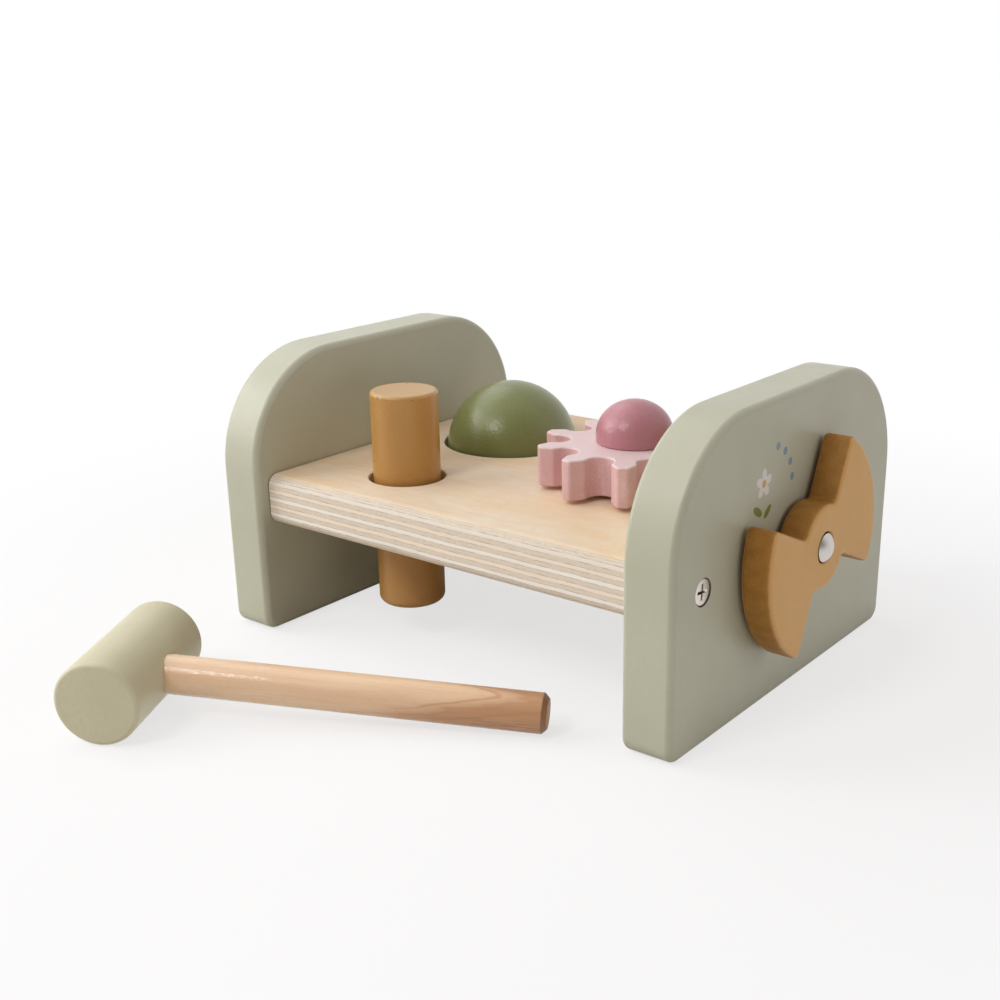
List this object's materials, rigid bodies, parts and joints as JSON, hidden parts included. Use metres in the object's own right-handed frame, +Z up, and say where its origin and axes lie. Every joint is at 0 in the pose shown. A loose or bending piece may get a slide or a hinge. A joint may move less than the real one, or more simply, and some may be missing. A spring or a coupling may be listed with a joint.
{
  "type": "peg pounding bench",
  "caption": "Toy pounding bench on two rounded end panels, with a peg, a ball, a turning gear, a spinner on one end, and a mallet lying in front.",
  "frame": {"origin": "on the floor, in the middle of the rectangle that bench and mallet cover", "axes": "+Z up, +X along the bench towards the end panel with the spinner, +Y from the mallet in front towards the back"},
  "size_m": [0.206, 0.2432, 0.1013],
  "materials": {
    "sage_paint": "satin paint on solid wood",
    "birch_ply": "birch plywood, clear satin lacquer",
    "ochre_paint": "satin paint on solid wood",
    "olive_paint": "satin paint on solid wood",
    "pale_pink_paint": "satin paint on solid wood",
    "rose_paint": "satin paint on solid wood",
    "lacquered_beech": "clear satin lacquer",
    "beech": "plain",
    "black_rubber": "matte",
    "nickel": "nickel plate, satin",
    "bush_steel": "turned",
    "washer_nylon": "matte"
  },
  "bodies": {
    "bench": {"left_end_panel": "sage_paint", "right_end_panel": "sage_paint", "bench_board": "birch_ply", "left_panel_screws": "nickel", "right_panel_screws": "nickel", "left_dowels": "beech", "right_dowels": "beech", "peg_grip_ring": "black_rubber", "ball_grip_ring": "black_rubber", "gear_knob": "rose_paint", "gear_bush": "bush_steel", "gear_washer": "washer_nylon", "gear_screw": "nickel", "spinner_washer": "washer_nylon", "spinner_axle": "nickel"},
    "peg": {"peg": "ochre_paint"},
    "ball": {"ball": "olive_paint"},
    "gear": {"gear_wheel": "pale_pink_paint"},
    "spinner": {"spinner": "ochre_paint"},
    "mallet": {"mallet_head": "sage_paint", "mallet_handle": "lacquered_beech"}
  },
  "joints": [
    {"name": "peg_slide", "type": "slide", "parent": "bench", "child": "peg", "axis": [0, 0, 1], "range_m": [-0.012, 0.055]},
    {"name": "ball_slide", "type": "slide", "parent": "bench", "child": "ball", "axis": [0, 0, 1], "range_m": [-0.032, 0.04], "deforming": ["ball_grip_ring"]},
    {"name": "gear_spin", "type": "hinge", "parent": "bench", "child": "gear", "pos_m": [0.02765, 0.04907, 0.0677], "axis": [0, 0, 1], "continuous": true},
    {"name": "spinner_spin", "type": "hinge", "parent": "bench", "child": "spinner", "pos_m": [0.09565, 0.04907, 0.05095], "axis": [1, 0, 0], "continuous": true},
    {"name": "mallet_lift", "type": "slide", "parent": "bench", "child": "mallet", "axis": [0, -0.5, 0.866], "range_m": [0, 0.12]}
  ]
}
